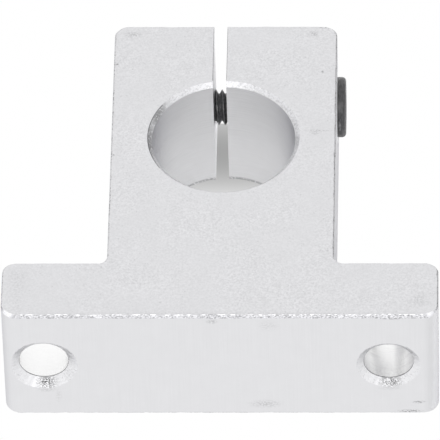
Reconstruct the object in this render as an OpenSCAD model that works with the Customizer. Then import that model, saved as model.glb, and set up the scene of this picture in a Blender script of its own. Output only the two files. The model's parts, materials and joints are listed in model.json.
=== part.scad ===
// Upright shaft support block: an extruded T section, bored for a 16 mm shaft,
// slit above the bore and closed on the shaft by one socket head cap screw.
// The block stands on its base with the shaft along Y. The origin is at the
// middle of the underside, and the screw's head is on the +X side.

/* [Block] */
// Width of the base, across the shaft
base_w = 48; // [46:1:60]
// Thickness of the base
base_h = 8; // [6:0.5:10]
// Depth of the block, along the shaft
depth = 16; // [14:1:24]
// Width of the upright
upright_w = 25; // [24:0.5:27]
// Height from the underside to the top
total_h = 44; // [43:0.5:47]
// Corner radius of the extruded section at the top and on the shoulders
corner_r = 1.5; // [0.5:0.1:2]
// Corner radius of the extruded section along the underside
foot_r = 1.8; // [0.5:0.1:2.5]
// Fillet radius where the upright meets the base
fillet_r = 1; // [0.5:0.1:2]

/* [Shaft bore] */
// Diameter of the shaft bore
bore_d = 16; // [15:0.1:16]
// Height of the shaft's axis above the underside
bore_z = 27; // [26:0.5:28]
// Size of the chamfer at each mouth of the bore
bore_chamfer = 0.5; // [0.2:0.1:0.8]
// Width of the slit above the bore
slit_w = 1.5; // [1:0.1:2]
// Sideways offset of the slit from the shaft's axis, as the saw left it
slit_x = -0.6; // [-0.8:0.1:0.8]

/* [Base holes] */
// Distance between the two base holes
hole_spacing = 38; // [36:0.5:40]
// Sideways offset of the pair from the middle of the base, as the drill jig left it
hole_x = -0.5; // [-0.8:0.1:0.8]
// Diameter of the base holes
hole_d = 5.5; // [4.5:0.1:6]
// Size of the chamfer on the underside
hole_chamfer = 0.9; // [0.2:0.1:1]
// Size of the light deburring chamfer on the upper side
hole_deburr = 0.3; // [0.1:0.1:0.5]

/* [Clamp screw] */
// Height of the screw's axis above the shaft's axis
screw_rise = 12; // [11.5:0.1:12.5]
// Thread diameter of the clamp screw
screw_d = 4; // [3.5:0.1:4]
// Length of the screw below its head
screw_len = 20; // [17:1:21]
// Diameter of the head
head_d = 6.8; // [6.5:0.1:7]
// Height of the head
head_h = 4; // [3.5:0.1:4]
// Rounding of the head's outer edge
head_edge_r = 0.45; // [0.2:0.05:0.6]
// Width of the hexagon socket across its flats
socket_af = 3; // [2.5:0.1:3]
// Depth of the hexagon socket
socket_depth = 2; // [1.5:0.1:2.2]
// How far the head stands out of the block's side
head_proud = 0.93; // [0:0.01:1.2]
// Diameter of the counterbore for the head
counterbore_d = 8; // [7.5:0.1:8]
// Diameter of the clearance hole in the ear under the head
clearance_d = 4.5; // [4.3:0.1:4.6]
// Clearance round the screw in the threaded ear, as a radius
thread_gap = 0.03; // [0.02:0.01:0.08]
// Size of the lead-in chamfers of the threaded hole
thread_lead = 0.35; // [0.2:0.05:0.5]

/* [Hidden] */
$fn = 96;
bore_r = bore_d / 2;
screw_z = bore_z + screw_rise;
ear_face = upright_w / 2;
head_top = ear_face + head_proud;
head_seat = head_top - head_h;
screw_tip = head_seat - screw_len;
tip_chamfer = 0.5;
tip_d = screw_d - 2 * tip_chamfer;
socket_r = socket_af / 2 / cos(30);
drill_cone = 0.45;
thread_hole_r = screw_d / 2 + thread_gap;
// A cut runs this far past the face it opens through
past = 1;

// A square corner's metal outside a round edge of radius r. The corner is at
// the origin and the section lies on its +X, +Y side.
module corner_waste(r) {
    difference() {
        translate([-past, -past]) square(r + past);
        translate([r, r]) circle(r);
    }
}

// The metal of an inside fillet of radius r, in the +X, +Y quarter
module fillet_web(r) {
    difference() {
        translate([-past, -past]) square(r + past);
        translate([r, r]) circle(r);
        translate([-past, -past]) square([past, r + past]);
        translate([-past, -past]) square([r + past, past]);
    }
}

// One half of the extruded T, on the +X side, drawn with its height along Y
module half_section() {
    difference() {
        square([base_w / 2, base_h]);
        translate([base_w / 2, 0]) mirror([1, 0]) corner_waste(foot_r);
        translate([base_w / 2, base_h]) rotate(180) corner_waste(corner_r);
    }
    difference() {
        square([ear_face, total_h]);
        translate([ear_face, total_h]) rotate(180) corner_waste(corner_r);
    }
    translate([ear_face, base_h]) fillet_web(fillet_r);
}

// The whole extruded T, cut to length and stood on its base
module extrusion() {
    translate([0, depth / 2, 0])
        rotate([90, 0, 0])
            linear_extrude(depth)
                union() {
                    half_section();
                    mirror([1, 0]) half_section();
                }
}

// A hole of radius r and length len along +Z from the origin, opened by a
// chamfer at its lower and at its upper end
module chamfered_hole(r, len, low_chamfer, high_chamfer) {
    rotate_extrude()
        polygon([
            [0, -past],
            [r + low_chamfer + past, -past],
            [r, low_chamfer],
            [r, len - high_chamfer],
            [r + high_chamfer + past, len + past],
            [0, len + past]
        ]);
}

// The shaft bore, along Y through the whole depth
module shaft_bore() {
    translate([0, depth / 2, bore_z])
        rotate([90, 0, 0])
            chamfered_hole(bore_r, depth, bore_chamfer, bore_chamfer);
}

// The slit that lets the two ears close on the shaft
module slit() {
    translate([slit_x - slit_w / 2, -depth / 2 - past, bore_z])
        cube([slit_w, depth + 2 * past, total_h - bore_z + past]);
}

// The two bolt holes through the base
module base_holes() {
    for (side = [-1, 1])
        translate([hole_x + side * hole_spacing / 2, 0, 0])
            chamfered_hole(hole_d / 2, base_h, hole_chamfer, hole_deburr);
}

// Counterbore, clearance hole and threaded hole for the clamp screw, along X
module screw_hole() {
    translate([head_seat, 0, screw_z])
        rotate([0, 90, 0])
            cylinder(d = counterbore_d, h = head_h + past);
    translate([0, 0, screw_z])
        rotate([0, 90, 0])
            cylinder(d = clearance_d, h = ear_face);
    translate([-ear_face, 0, screw_z])
        rotate([0, 90, 0])
            chamfered_hole(thread_hole_r, ear_face + slit_x - slit_w / 2, thread_lead, thread_lead);
}

module support_block() {
    color("silver")
        difference() {
            extrusion();
            shaft_bore();
            slit();
            base_holes();
            screw_hole();
        }
}

// Outline of the screw turned about its axis: the tip is at the origin and
// the head is at the far end
module screw_outline() {
    head_base = screw_len;
    head_end = screw_len + head_h;
    polygon([
        [0, 0],
        [tip_d / 2, 0],
        [screw_d / 2, tip_chamfer],
        [screw_d / 2, head_base],
        [head_d / 2, head_base],
        [head_d / 2, head_end - head_edge_r],
        [0, head_end - head_edge_r]
    ]);
    translate([0, head_end - head_edge_r])
        square([head_d / 2 - head_edge_r, head_edge_r]);
    intersection() {
        translate([head_d / 2 - head_edge_r, head_end - head_edge_r]) circle(head_edge_r);
        translate([0, head_end - head_edge_r]) square([head_d, head_edge_r]);
    }
}

// The hexagon socket with the drill point at its bottom, opening upwards at
// the origin
module hex_socket() {
    translate([0, 0, -socket_depth])
        rotate(30)
            cylinder(r = socket_r, h = socket_depth + past, $fn = 6);
    translate([0, 0, -socket_depth - drill_cone])
        cylinder(r1 = 0, r2 = socket_af / 2, h = drill_cone);
}

module clamp_screw() {
    color("dimgray")
        translate([screw_tip, 0, screw_z])
            rotate([0, 90, 0])
                difference() {
                    rotate_extrude() screw_outline();
                    translate([0, 0, screw_len + head_h]) hex_socket();
                }
}

support_block();
clamp_screw();
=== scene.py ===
"""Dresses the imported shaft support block: an aluminium block and its clamp screw.

The block is an extruded T section, cut to length, bored, slit, drilled and tapped. Each of those
operations leaves its own finish, so the block's surface is built in zones, one for each operation.
All sizes in this file are in millimetres, and meshes are written in metres.
"""

import json
import logging
import math
from collections.abc import Callable, Sequence
from dataclasses import dataclass, field
from enum import Enum

import bmesh
import bpy
import numpy as np
from bpy.types import ID, Material, Node, NodeSocket, NodeTree, Object, World, bpy_prop_collection
from mathutils import Matrix, Vector

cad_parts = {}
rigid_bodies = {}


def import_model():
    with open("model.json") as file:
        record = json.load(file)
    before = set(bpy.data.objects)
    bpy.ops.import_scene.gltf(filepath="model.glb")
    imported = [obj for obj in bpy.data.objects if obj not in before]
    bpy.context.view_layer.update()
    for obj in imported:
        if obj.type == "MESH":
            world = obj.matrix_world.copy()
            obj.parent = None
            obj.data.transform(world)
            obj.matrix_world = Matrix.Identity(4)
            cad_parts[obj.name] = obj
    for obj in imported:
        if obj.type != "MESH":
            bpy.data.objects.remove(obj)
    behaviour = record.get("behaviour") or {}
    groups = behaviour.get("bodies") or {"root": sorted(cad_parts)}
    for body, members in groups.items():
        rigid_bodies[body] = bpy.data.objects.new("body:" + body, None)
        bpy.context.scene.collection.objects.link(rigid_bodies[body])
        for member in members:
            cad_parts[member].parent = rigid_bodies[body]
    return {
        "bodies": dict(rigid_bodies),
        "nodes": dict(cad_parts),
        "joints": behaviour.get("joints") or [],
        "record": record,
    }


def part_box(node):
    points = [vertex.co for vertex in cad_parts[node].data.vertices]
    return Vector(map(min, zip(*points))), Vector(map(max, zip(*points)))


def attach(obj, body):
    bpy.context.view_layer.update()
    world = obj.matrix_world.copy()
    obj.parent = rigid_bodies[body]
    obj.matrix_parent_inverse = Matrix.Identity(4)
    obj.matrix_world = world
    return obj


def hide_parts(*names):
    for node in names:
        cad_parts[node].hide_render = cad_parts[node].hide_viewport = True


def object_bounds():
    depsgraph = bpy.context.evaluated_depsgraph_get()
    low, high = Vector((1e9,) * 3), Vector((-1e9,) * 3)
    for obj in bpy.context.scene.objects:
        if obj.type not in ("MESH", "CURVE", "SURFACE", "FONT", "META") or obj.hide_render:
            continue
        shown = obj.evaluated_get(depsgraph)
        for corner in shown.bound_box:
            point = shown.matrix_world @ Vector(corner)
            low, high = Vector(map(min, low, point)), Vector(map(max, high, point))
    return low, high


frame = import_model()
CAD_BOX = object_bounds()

# What a shader socket takes: a node's first output, an output socket, or a constant
Source = Node | NodeSocket | float

LOG = logging.getLogger("support_block")
MM = 0.001
TURN = 2 * math.pi
# How much lighter a chip is painted, as a share: a painted highlight on the knocked metal
CHIP_HIGHLIGHT = 0.25
# Shape of a broken edge: 1 is a quarter round and 2 is a flat chamfer
EDGE_FLATNESS = 1.7
# Most of a noise lies within an eighth of its middle, so this brings it to about one either way
SWING = 8.0
# Nearly all of a smooth noise lies between these
NOISE_LOW, NOISE_HIGH = 0.35, 0.65
# How far a fleck's noise rises above its level to reach the full depth
FLECK_EDGE = 0.08
# Sizes of the patches where a tool bit more or less, and of the clouds in an alloy's colour
BITE_SIZE, CLOUD_SIZE = 7.0, 2.5
# Where the slitting saw's centre stood
SAW_CENTRE = (0.0, 10.0, 75.0)
# How far a cutter runs past the face that it opens through
PAST = 1.0
# Points closer than this are one
WELD = 2e-4


# ---------------------------------------------------------------- small helpers


def hex_to_linear(code: str) -> tuple[float, float, float, float]:
    """Turns an sRGB hex colour into the linear colour that shaders take.

    Args:
        code: six hex digits, such as "c8c8ca".

    Returns:
        Linear red, green and blue, and an alpha of 1.
    """
    srgb = [int(code[i:i + 2], 16) / 255 for i in (0, 2, 4)]
    linear = [c / 12.92 if c <= 0.04045 else ((c + 0.055) / 1.055) ** 2.4 for c in srgb]
    return (linear[0], linear[1], linear[2], 1.0)


def empty_tree(owner: Material | World) -> NodeTree:
    """Gives a material or a world a node tree with nothing in it.

    Args:
        owner: the material or the world.

    Returns:
        Its node tree.
    """
    owner.use_nodes = True
    owner.node_tree.nodes.clear()
    return owner.node_tree


def add_node(tree: NodeTree, kind: str, settings: dict | None = None,
             inputs: dict | None = None) -> Node:
    """Adds one shader node.

    Args:
        tree: the node tree that it goes into.
        kind: the node's type name, without the word ShaderNode that each one starts with.
        settings: properties of the node by name.
        inputs: for each socket name or number, what it takes: an output socket, a node's first
            output, or a constant value.

    Returns:
        The new node.
    """
    node = tree.nodes.new("ShaderNode" + kind)
    for name, value in (settings or {}).items():
        setattr(node, name, value)
    for name, value in (inputs or {}).items():
        if isinstance(value, Node):
            value = value.outputs[0]
        if isinstance(value, NodeSocket):
            tree.links.new(value, node.inputs[name])
        else:
            node.inputs[name].default_value = value
    return node


def full_turn(count: int) -> np.ndarray:
    """Evenly spaced angles round a circle, from 0."""
    return np.linspace(0, TURN, count, endpoint=False)


def wander(along: np.ndarray, waves: Sequence[tuple[float, float]],
           rng: np.random.Generator) -> np.ndarray:
    """A smooth irregular line: a sum of sines, each with a random phase.

    Args:
        along: distance along the line, in millimetres.
        waves: pairs of wavelength and height, in millimetres.
        rng: the seeded source of the phases.

    Returns:
        The height at each distance.
    """
    total = np.zeros_like(along)
    for length, height in waves:
        total += height * np.sin(TURN * (along / length + rng.random()))
    return total


# ---------------------------------------------------------------- surfaces


def grid_faces(rows: int, columns: int, closed: bool = True) -> np.ndarray:
    """Quads between the rows of a grid whose vertices are numbered row by row.

    Each quad runs from a point to the next row, along the row, and back, so its normal is the
    row direction crossed with the column direction.

    Args:
        rows: number of rows.
        columns: number of points in a row.
        closed: whether the last point of a row joins the first.

    Returns:
        An array of four vertex numbers for each quad.
    """
    row = np.arange(rows - 1)[:, None]
    column = np.arange(columns if closed else columns - 1)[None, :]
    following = (column + 1) % columns
    quads = np.stack([
        row * columns + column,
        (row + 1) * columns + column,
        (row + 1) * columns + following,
        row * columns + following,
    ], axis=-1)
    return quads.reshape(-1, 4)


def add_object(name: str, data: ID) -> Object:
    """Adds an object to the scene, at the origin.

    Args:
        name: the object's name.
        data: its mesh, lamp or camera.

    Returns:
        The new object.
    """
    added = bpy.data.objects.new(name, data)
    bpy.context.scene.collection.objects.link(added)
    return added


def make_object(name: str, points: np.ndarray, faces: Sequence[Sequence[int]] | np.ndarray,
                materials: Sequence[Material] = (), zones: np.ndarray | None = None) -> Object:
    """Puts a surface into a new mesh object at the origin.

    Args:
        name: the object's name.
        points: vertex positions in millimetres, with X, Y and Z along the last axis.
        faces: vertex numbers of each face, counter-clockwise from outside.
        materials: its material slots.
        zones: material slot number of each face.

    Returns:
        The new object, linked to the scene.
    """
    mesh = bpy.data.meshes.new(name)
    mesh.from_pydata((points.reshape(-1, 3) * MM).tolist(), [],
                     [list(map(int, f)) for f in faces])
    for material in materials:
        mesh.materials.append(material)
    if zones is not None:
        mesh.polygons.foreach_set("material_index", np.asarray(zones, np.int32))
    mesh.update()
    return add_object(name, mesh)


def read_all(items: bpy_prop_collection, name: str, kind: type, width: int = 1) -> np.ndarray:
    """Reads one property of every item of a mesh.

    Args:
        items: the mesh's faces, edges or corners.
        name: the property.
        kind: the array's number type.
        width: how many numbers the property has.

    Returns:
        The numbers, one row for each item where there are several.
    """
    values = np.zeros(len(items) * width, kind)
    items.foreach_get(name, values)
    return values.reshape(-1, width) if width > 1 else values


def smooth_but_crisp(piece: Object, angle: float) -> None:
    """Shades a piece smooth, apart from edges over an angle and edges between two zones.

    Args:
        piece: the object.
        angle: the least angle of a crisp edge, in degrees.
    """
    mesh = piece.data
    normals = read_all(mesh.polygons, "normal", np.float32, 3)
    zones = read_all(mesh.polygons, "material_index", np.int32)
    sizes = read_all(mesh.polygons, "loop_total", np.int32)
    edge_of_loop = read_all(mesh.loops, "edge_index", np.int32)
    face_of_loop = np.repeat(np.arange(len(mesh.polygons)), sizes)
    order = np.argsort(edge_of_loop, kind="stable")
    edges, owners = edge_of_loop[order], face_of_loop[order]
    pair = np.flatnonzero(edges[1:] == edges[:-1])
    first, second = owners[pair], owners[pair + 1]
    bend = np.einsum("ij,ij->i", normals[first], normals[second])
    crisp = (bend < math.cos(math.radians(angle))) | (zones[first] != zones[second])
    sharp = np.zeros(len(mesh.edges), bool)
    sharp[edges[pair[crisp]]] = True
    mesh.polygons.foreach_set("use_smooth", np.ones(len(mesh.polygons), bool))
    attribute = mesh.attributes.get("sharp_edge")
    if attribute is None:
        attribute = mesh.attributes.new("sharp_edge", "BOOLEAN", "EDGE")
    attribute.data.foreach_set("value", sharp)
    mesh.update()


def carve(piece: Object, cutters: Sequence[Object]) -> None:
    """Cuts closed solids out of a piece, and removes them from the scene.

    The cut faces keep the cutters' slot numbers.

    Args:
        piece: the object that is cut.
        cutters: the solids to take away.
    """
    for cutter in cutters:
        cut = piece.modifiers.new(cutter.name, "BOOLEAN")
        cut.operation = "DIFFERENCE"
        cut.solver = "EXACT"
        cut.material_mode = "INDEX"
        cut.object = cutter
    graph = bpy.context.evaluated_depsgraph_get()
    finished = bpy.data.meshes.new_from_object(piece.evaluated_get(graph))
    piece.modifiers.clear()
    rough = piece.data
    finished.name = rough.name
    piece.data = finished
    bpy.data.meshes.remove(rough)
    for cutter in cutters:
        bpy.data.objects.remove(cutter)


# ---------------------------------------------------------------- finishes


class Pattern(Enum):
    """What the tool that made an aluminium surface left on it.

    Each value is how a noise makes it: how far the noise is squeezed along X, Y and Z, its
    detail and its roughness. A small number draws it out along that axis.
    """

    BLASTED = ((1.0, 1.0, 1.0), 4.0, 0.65)
    DIE_LINES = ((1.0, 0.02, 1.0), 4.0, 0.65)
    TURNED = ((0.03, 1.0, 0.03), 2.0, 0.5)
    SAW_ARCS = ((1.0, 1.0, 1.0), 2.0, 0.5)
    DRILLED = ((0.12, 0.12, 1.0), 4.0, 0.65)


@dataclass(frozen=True)
class Flecks:
    """Dark specks of grit and smeared metal, which keep the light in.

    Attributes:
        spacing: distance between them along X, Y and Z, in millimetres.
        level: how high the noise has to stand to make one. Nearer 1 leaves fewer.
        depth: how much darker they are, as a share.
    """

    spacing: tuple[float, float, float]
    level: float
    depth: float


@dataclass(frozen=True)
class Scuff:
    """A patch of specks that handling has left; on the left of the bore's mouth its specks are
    painted shade, and the chips use it for a painted highlight.

    Attributes:
        middle: where it is, in millimetres.
        reach: how far it fades out along X, Y and Z.
        depth: how much darker its specks are, as a share.
    """

    middle: tuple[float, float, float]
    reach: tuple[float, float, float]
    depth: float


@dataclass(frozen=True)
class AluminiumFinish:
    """Bare aluminium alloy as one operation leaves it.

    It is a metal, so its colour is in its reflection. The tool marks are in its bump, and also in
    its colour, because the room is nearly even and a bump alone would hardly show in it.

    Attributes:
        name: the material's name.
        pattern: the kind of tool marks.
        colour: what the metal reflects head on.
        roughness: how far its reflection spreads.
        mark_size: distance between the tool marks, in millimetres.
        mark_depth: their depth, in millimetres.
        mottle: how much lighter and darker they are, as a share.
        drift: how much the colour changes over a few millimetres, as a share.
        flecks: the dark specks all over it.
        scuffs: its scuffed spots; on the bore's mouth, partly painted shade.
        grit: the specks in its scuffed spots.
        chips: spots where it is knocked, painted lighter as a highlight.
        rim_colour: what it reflects at a grazing angle.
    """

    name: str
    pattern: Pattern
    colour: str
    roughness: float
    mark_size: float
    mark_depth: float
    mottle: float
    drift: float
    flecks: Flecks | None = None
    scuffs: tuple[Scuff, ...] = ()
    grit: Flecks = Flecks((0.24, 0.17, 0.17), 0.45, 1.0)
    chips: tuple[Scuff, ...] = ()
    rim_colour: str = "dcdcde"

    def build(self) -> Material:
        """Makes the material.

        Returns:
            The new material.
        """
        material = bpy.data.materials.new(self.name)
        tree = empty_tree(material)
        place = add_node(tree, "TexCoord").outputs["Object"]
        marks = self.marks(tree, place)
        bump = add_node(tree, "Bump", inputs={
            "Strength": 1.0, "Distance": self.mark_depth * MM, "Height": marks})
        shader = add_node(tree, "BsdfPrincipled", inputs={
            "Base Color": self.tint(tree, place, marks), "Metallic": 1.0,
            "Roughness": self.roughness, "Specular Tint": hex_to_linear(self.rim_colour),
            "Normal": bump})
        add_node(tree, "OutputMaterial", inputs={"Surface": shader})
        return material

    def tint(self, tree: NodeTree, place: Source, marks: Source) -> Node:
        """The alloy's colour times one plus the marks, plus a slow drift, less the specks and the
        painted shade, and lighter where a chip's painted highlight is.

        The marks are stronger in some places than in others, because no tool bites evenly.

        Args:
            tree: the material's node tree.
            place: Object coordinates.
            marks: height of the tool marks, from 0 to 1.

        Returns:
            The node that gives the colour.
        """
        slow = add_node(tree, "TexNoise", inputs={
            "Vector": place, "Scale": 1 / (BITE_SIZE * MM), "Detail": 2.0})
        bite = add_node(tree, "MapRange", inputs={
            "Value": slow, "From Min": NOISE_LOW, "From Max": NOISE_HIGH,
            "To Min": 0.5 * SWING * self.mottle, "To Max": 1.5 * SWING * self.mottle})
        middle = add_node(tree, "Math", {"operation": "SUBTRACT"}, {0: marks, 1: 0.5})
        cloud = add_node(tree, "TexNoise", inputs={
            "Vector": place, "Scale": 1 / (CLOUD_SIZE * MM), "Detail": 3.0, "Roughness": 0.6})
        drift = add_node(tree, "MapRange", {"clamp": False}, {
            "Value": cloud, "To Min": 1 - self.drift * SWING / 2,
            "To Max": 1 + self.drift * SWING / 2})
        level = add_node(tree, "Math", {"operation": "MULTIPLY_ADD"}, {
            0: middle, 1: bite, 2: drift})
        specks_and_painted_light_factor = add_node(tree, "Math", {"operation": "SUBTRACT"}, {
            0: 1.0, 1: self.dirt_and_painted_light(tree, place)})
        level = add_node(tree, "Math", {"operation": "MULTIPLY"}, {0: level, 1: specks_and_painted_light_factor})
        return add_node(tree, "VectorMath", {"operation": "SCALE"}, {
            0: hex_to_linear(self.colour)[:3], "Scale": level})

    def dirt_and_painted_light(self, tree: NodeTree, place: Source) -> Source:
        """How much darker the specks and the painted shade are, from 0 to 1, and below 0 where a
        chip has a painted highlight.

        A fleck is where a noise stands above its level. A scuff is the grit's noise, weighed by
        one at the scuff's middle that falls to nothing at its reach; on the bore's mouth the
        scuffs are painted shade. A chip hides the specks there.

        Args:
            tree: the material's node tree.
            place: Object coordinates.

        Returns:
            The share of the light that is lost.
        """
        dark: Source = 0.0
        if self.flecks is not None:
            dark = self.specks(tree, place, self.flecks)
        if self.scuffs:
            scuffed = add_node(tree, "Math", {"operation": "MULTIPLY"}, {
                0: self.spots(tree, place, self.scuffs), 1: self.specks(tree, place, self.grit)})
            dark = add_node(tree, "Math", {"operation": "MAXIMUM"}, {0: dark, 1: scuffed})
        if self.chips:
            bare = self.spots(tree, place, self.chips)
            hidden = add_node(tree, "Math", {"operation": "MULTIPLY"}, {0: dark, 1: bare})
            left = add_node(tree, "Math", {"operation": "SUBTRACT"}, {0: dark, 1: hidden})
            dark = add_node(tree, "Math", {"operation": "MULTIPLY_ADD"}, {
                0: bare, 1: -CHIP_HIGHLIGHT, 2: left})
        return dark

    def spots(self, tree: NodeTree, place: Source, scuffs: Sequence[Scuff]) -> Source:
        """The depth of the nearest spot, times one at its middle and nothing past its reach.

        Args:
            tree: the material's node tree.
            place: Object coordinates.
            scuffs: the spots.

        Returns:
            The depth, and 0 away from them all.
        """
        weight: Source = 0.0
        for scuff in scuffs:
            apart = add_node(tree, "VectorMath", {"operation": "SUBTRACT"}, {
                0: place, 1: [c * MM for c in scuff.middle]})
            shares = add_node(tree, "VectorMath", {"operation": "DIVIDE"}, {
                0: apart, 1: [c * MM for c in scuff.reach]})
            away = add_node(tree, "VectorMath", {"operation": "LENGTH"}, {0: shares})
            near = add_node(tree, "MapRange", {"interpolation_type": "SMOOTHSTEP"}, {
                "Value": away.outputs["Value"], "To Min": scuff.depth, "To Max": 0.0})
            weight = add_node(tree, "Math", {"operation": "MAXIMUM"}, {0: weight, 1: near})
        return weight

    def specks(self, tree: NodeTree, place: Source, flecks: Flecks) -> Node:
        """Noise with the flecks' spacing, cut off at their level, times their depth.

        Args:
            tree: the material's node tree.
            place: Object coordinates.
            flecks: the specks' spacing, level and depth.

        Returns:
            The node that gives the depth.
        """
        spread = add_node(tree, "Mapping", inputs={
            "Vector": place, "Scale": [1 / (c * MM) for c in flecks.spacing]})
        noise = add_node(tree, "TexNoise", inputs={
            "Vector": spread, "Scale": 1.0, "Detail": 2.0})
        return add_node(tree, "MapRange", inputs={
            "Value": noise, "From Min": flecks.level, "From Max": flecks.level + FLECK_EDGE,
            "To Max": flecks.depth})

    def marks(self, tree: NodeTree, place: Source) -> Node:
        """Height of the tool marks: a noise, squeezed and drawn out as their pattern says.

        Saw marks are arcs, so theirs is a noise of the distance from the saw's centre.

        Args:
            tree: the material's node tree.
            place: Object coordinates.

        Returns:
            The node that gives the height, from 0 to 1.
        """
        squeeze, detail, roughness = self.pattern.value
        if self.pattern is Pattern.SAW_ARCS:
            apart = add_node(tree, "VectorMath", {"operation": "SUBTRACT"}, {
                0: place, 1: [c * MM for c in SAW_CENTRE]})
            flat = add_node(tree, "VectorMath", {"operation": "MULTIPLY"}, {
                0: apart, 1: (0.0, 1.0, 1.0)})
            radius = add_node(tree, "VectorMath", {"operation": "LENGTH"}, {0: flat})
            place = add_node(tree, "CombineXYZ", inputs={"X": radius.outputs["Value"]})
        squeezed = add_node(tree, "Mapping", inputs={"Vector": place, "Scale": squeeze})
        return add_node(tree, "TexNoise", inputs={
            "Vector": squeezed, "Scale": 1 / (self.mark_size * MM), "Detail": detail,
            "Roughness": roughness})


@dataclass(frozen=True)
class BlackOxide:
    """Blackened steel: a thin layer of oiled magnetite, which is dark, satin and not a metal.

    Attributes:
        name: the material's name.
        colour: the layer's own colour.
        rubbed: the colour where the layer is rubbed thin.
        roughness: how far its sheen spreads.
        layer_ior: refractive index of the layer and its oil.
        grain: size of its grain, in millimetres.
        streak: how much longer the grain is round the axis than along it.
        relief: depth of the grain, in millimetres.
        levels: where the grain's noise is darkest and where it is lightest.
        tones: the colour there, as shares of its own.
        sheens: what the lowest and the highest grain add to the roughness.
        thin_size: size of the thin patches, in grains.
        thin_levels: where their noise starts to show the rubbed colour, and where it ends.
    """

    name: str
    colour: str
    rubbed: str
    roughness: float
    layer_ior: float
    grain: float
    streak: float
    relief: float = 0.006
    levels: tuple[float, float] = (0.4, 0.62)
    tones: tuple[float, float] = (0.4, 1.9)
    sheens: tuple[float, float] = (-0.08, 0.1)
    thin_size: float = 3.0
    thin_levels: tuple[float, float] = (0.6, 0.68)

    def build(self) -> Material:
        """Makes the material.

        Returns:
            The new material.
        """
        material = bpy.data.materials.new(self.name)
        tree = empty_tree(material)
        turned = add_node(tree, "Mapping", inputs={
            "Vector": add_node(tree, "TexCoord").outputs["Object"],
            "Scale": (1.0, 1 / self.streak, 1 / self.streak)})
        grain = add_node(tree, "TexNoise", inputs={
            "Vector": turned, "Scale": 1 / (self.grain * MM), "Detail": 4.0, "Roughness": 0.6})
        ramp = add_node(tree, "ValToRGB", inputs={"Fac": grain})
        base = hex_to_linear(self.colour)[:3]
        for stop, level, tone in zip(ramp.color_ramp.elements, self.levels, self.tones):
            stop.position = level
            stop.color = tuple(c * tone for c in base) + (1.0,)
        patches = add_node(tree, "TexNoise", inputs={
            "Vector": turned, "Scale": 1 / (self.thin_size * self.grain * MM), "Detail": 3.0})
        thin = add_node(tree, "MapRange", inputs={
            "Value": patches, "From Min": self.thin_levels[0], "From Max": self.thin_levels[1]})
        colour = add_node(tree, "Mix", {"data_type": "RGBA"}, {
            0: thin, 6: ramp, 7: hex_to_linear(self.rubbed)})
        rough = add_node(tree, "MapRange", inputs={
            "Value": grain, "To Min": self.roughness + self.sheens[0],
            "To Max": self.roughness + self.sheens[1]})
        bump = add_node(tree, "Bump", inputs={
            "Strength": 1.0, "Distance": self.relief * MM, "Height": grain})
        shader = add_node(tree, "BsdfPrincipled", inputs={
            "Base Color": colour.outputs[2], "IOR": self.layer_ior, "Roughness": rough,
            "Normal": bump})
        add_node(tree, "OutputMaterial", inputs={"Surface": shader})
        return material


class Zone(Enum):
    """The operations that made the block's surface, and a lit copy of the drilled wall. Each value
    is a material slot number.
    """

    EXTRUDED = 0
    CUT_END = 1
    EDGE = 2
    BORED = 3
    BORE_MOUTH = 4
    SAWN = 5
    DRILLED = 6
    COUNTERSUNK = 7
    BURR = 8
    NEAR_EDGE = 9
    DRILLED_LIT_COPY = 10


TORN_METAL = Flecks((0.15, 0.12, 0.12), 0.44, 0.9)
SMEARED_METAL = Flecks((0.3, 0.2, 0.2), 0.37, 1.0)
UNDERSIDE_SCUFFS = (
    Scuff((-0.8, -7.2, 0.0), (0.9, 0.6, 0.3), 0.3),
    Scuff((5.4, -6.5, 0.0), (1.6, 1.2, 0.3), 0.12),
    Scuff((4.8, 6.4, 0.0), (2.4, 0.9, 0.3), 0.25),
    Scuff((20.8, 7.6, 0.0), (1.9, 0.35, 0.6), 0.6),
    Scuff((21.8, 6.1, 0.0), (1.0, 0.3, 0.6), 0.6),
    Scuff((-18.0, 5.0, 0.0), (0.5, 1.6, 0.3), 0.12),
    Scuff((18.8, -7.7, 0.0), (1.9, 0.25, 0.4), 0.8),
    Scuff((0.0, 7.85, 0.0), (30.0, 0.16, 0.3), 0.3),
    Scuff((-19.3, 3.9, 0.0), (1.5, 0.7, 0.3), 0.2),
    Scuff((18.7, 3.7, 0.0), (1.8, 0.6, 0.3), 0.16),
)
FRONT_SCUFFS = (
    Scuff((-10.4, -8.0, 42.7), (1.5, 0.5, 0.7), 0.25),
    Scuff((9.8, -8.0, 42.8), (0.9, 0.5, 0.6), 0.3),
    Scuff((11.3, -8.0, 43.8), (1.3, 0.5, 0.25), 0.6),
    Scuff((12.3, -8.0, 43.2), (0.35, 0.5, 0.6), 0.6),
    Scuff((10.9, -8.0, 36.9), (0.25, 0.5, 0.3), 0.5),
    Scuff((10.2, -8.0, 27.7), (0.9, 0.5, 0.8), 0.22),
    Scuff((10.6, -8.0, 27.9), (2.2, 0.5, 0.14), 0.25),
    Scuff((-12.2, -8.0, 38.1), (0.4, 0.5, 0.2), 0.6),
    Scuff((-12.3, -8.0, 24.2), (0.4, 0.5, 0.2), 0.6),
    Scuff((21.9, -8.0, 2.4), (1.4, 0.5, 1.4), 0.16),
    Scuff((-22.3, -8.0, 5.0), (1.6, 0.5, 4.0), 0.08),
    Scuff((0.0, -8.0, 0.1), (40.0, 0.5, 0.8), 0.16),
)
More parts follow.
